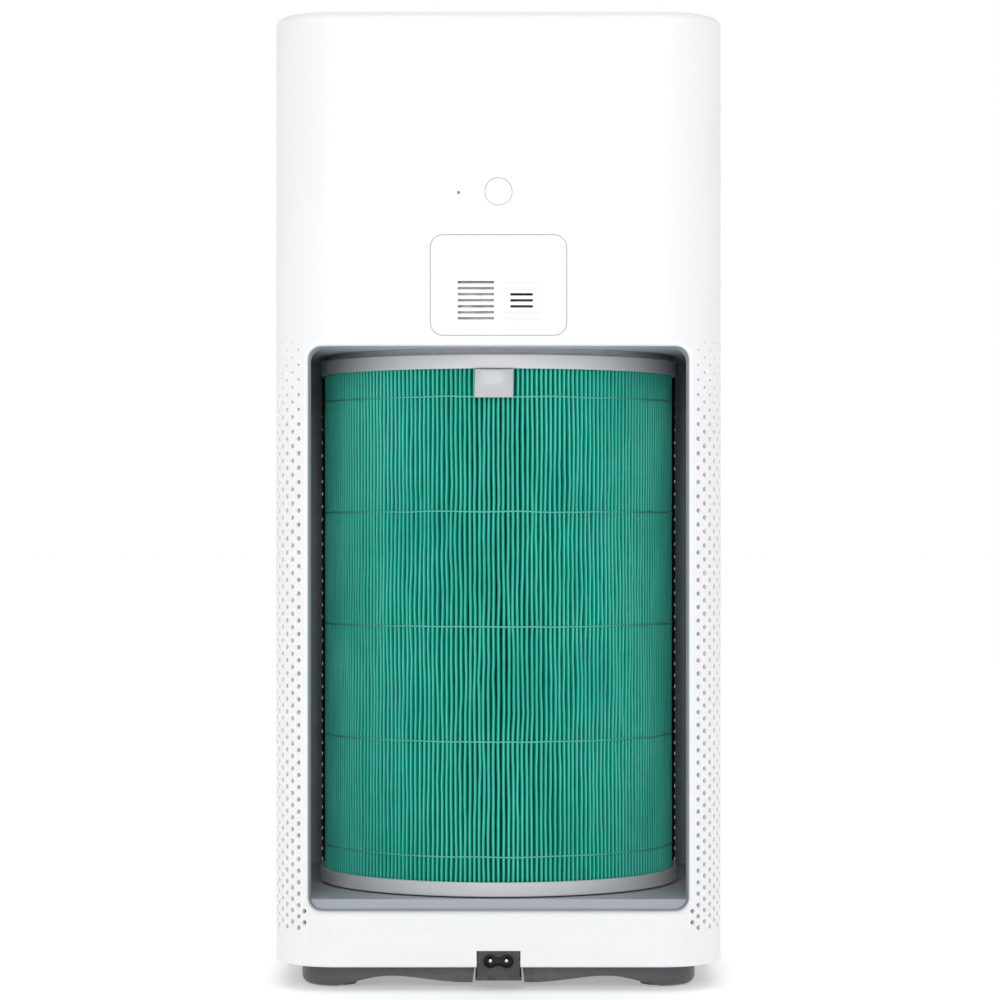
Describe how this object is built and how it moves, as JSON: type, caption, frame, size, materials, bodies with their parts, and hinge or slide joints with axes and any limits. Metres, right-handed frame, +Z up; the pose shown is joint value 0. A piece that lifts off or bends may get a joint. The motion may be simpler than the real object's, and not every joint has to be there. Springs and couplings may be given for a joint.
{
  "type": "air purifier",
  "caption": "Tower air purifier with a perforated housing, an open rear filter bay, a pleated round filter cartridge and a fan under a round top grille.",
  "frame": {"origin": "middle of the footprint, on the floor", "axes": "+Z up; the filter bay, the mains inlet and the sensor cover face +Y; the display faces -Y; +X is on the left of someone facing the bay"},
  "size_m": [0.24, 0.2406, 0.52],
  "materials": {
    "housing_white": "fine satin moulded ABS, white",
    "cover_white": "satin moulded ABS, white, with slots",
    "button_white": "smooth moulded cap, white",
    "grille_white": "satin moulded ABS, warm white",
    "cap_grey": "smooth cap, mid grey",
    "liner_grey": "plain moulded ABS, cool light grey",
    "base_grey": "fine-grained moulded ABS, dark grey",
    "inlet_black": "glass-filled nylon, black",
    "pin_metal": "nickel-plated brass",
    "rubber_dark": "plain black rubber",
    "ring_grey": "satin moulded polypropylene, light grey",
    "media_green": "pleated non-woven filter paper, green",
    "glue_green": "hot-melt glue bead, green",
    "carbon_black": "activated carbon cloth, black",
    "core_grey": "moulded polypropylene cage, grey",
    "tab_grey": "clear grey flexible strap",
    "fan_grey": "plain moulded ABS, dark grey",
    "impeller_grey": "glass-filled moulded plastic, grey",
    "foam_dark": "closed-cell foam strip, charcoal",
    "steel": "zinc-plated steel",
    "lamination": "stacked steel sheets",
    "copper": "enamelled copper wire",
    "board_green": "glass-epoxy circuit board, green",
    "part_black": "electronic parts, black",
    "lead_grey": "PVC lead, dark grey",
    "window_dark": "dark tinted window",
    "light_clear": "clear light pipe"
  },
  "bodies": {
    "housing": {"outer_housing": "housing_white", "top_frame": "housing_white", "outlet_grille": "grille_white", "grille_hub_cap": "cap_grey", "base_plate": "base_grey", "rubber_feet": "rubber_dark", "frame_screws": "steel", "lower_posts": "liner_grey", "bay_posts": "liner_grey", "upper_posts": "liner_grey", "inlet_socket": "inlet_black", "inlet_pins": "pin_metal", "inlet_lead": "lead_grey", "power_board": "board_green", "power_parts": "part_black", "main_board": "board_green", "main_parts": "part_black", "board_screws": "steel", "motor_lead": "lead_grey", "motor_connector": "part_black", "bay_frame": "liner_grey", "bay_tray": "liner_grey", "bay_partition": "liner_grey", "lower_seal": "foam_dark", "upper_seal": "foam_dark", "fan_inlet_ring": "fan_grey", "fan_duct": "fan_grey", "motor_carrier": "fan_grey", "motor_cover": "fan_grey", "outlet_diffuser": "fan_grey", "fan_screws": "steel", "motor_bearings": "steel", "motor_stator": "lamination", "motor_coils": "copper", "motor_board": "board_green", "rear_button_board": "board_green", "status_light_pipe": "light_clear", "power_button_board": "board_green", "display_window": "window_dark", "display_board": "part_black", "display_bracket": "fan_grey", "particle_sensor": "steel", "humidity_board": "board_green"},
    "filter_cartridge": {"filter_top_ring": "ring_grey", "filter_bottom_ring": "ring_grey", "filter_media": "media_green", "carbon_layer": "carbon_black", "filter_core": "core_grey", "filter_glue_beads": "glue_green", "filter_id_tag": "part_black"},
    "tab": {"pull_tab": "tab_grey"},
    "rotor": {"impeller_hub": "impeller_grey", "impeller_shroud": "impeller_grey", "impeller_blades": "impeller_grey", "impeller_nut": "steel", "motor_shaft": "steel", "rotor_can": "steel", "rotor_magnets": "part_black"},
    "rear_key": {"rear_button": "button_white"},
    "power_key": {"power_button": "button_white"},
    "sensor_lid": {"sensor_cover": "cover_white"},
    "sensor_rotor": {"particle_fan": "part_black"}
  },
  "joints": [
    {"name": "filter_slide", "type": "slide", "parent": "housing", "child": "filter_cartridge", "axis": [0, 1, 0], "range_m": [0, 0.26]},
    {"name": "tab_hinge", "type": "hinge", "parent": "filter_cartridge", "child": "tab", "pos_m": [0.0024, 0.1008, 0.3311], "axis": [1, 0, 0], "range_deg": [0, 75]},
    {"name": "fan_spin", "type": "hinge", "parent": "housing", "child": "rotor", "pos_m": [0, 0, 0.41], "axis": [0, 0, 1], "continuous": true},
    {"name": "rear_button_press", "type": "slide", "parent": "housing", "child": "rear_key", "axis": [0, -1, 0], "range_m": [0, 0.0008], "stiffness_N_per_m": 300, "springref_m": -0.002},
    {"name": "power_button_press", "type": "slide", "parent": "housing", "child": "power_key", "axis": [0, 1, 0], "range_m": [0, 0.0008], "stiffness_N_per_m": 300, "springref_m": -0.002},
    {"name": "sensor_cover_pull", "type": "slide", "parent": "housing", "child": "sensor_lid", "axis": [0, 1, 0], "range_m": [0, 0.03]},
    {"name": "sensor_fan_spin", "type": "hinge", "parent": "housing", "child": "sensor_rotor", "pos_m": [0.024, 0.108, 0.386], "axis": [0, 1, 0], "continuous": true}
  ]
}
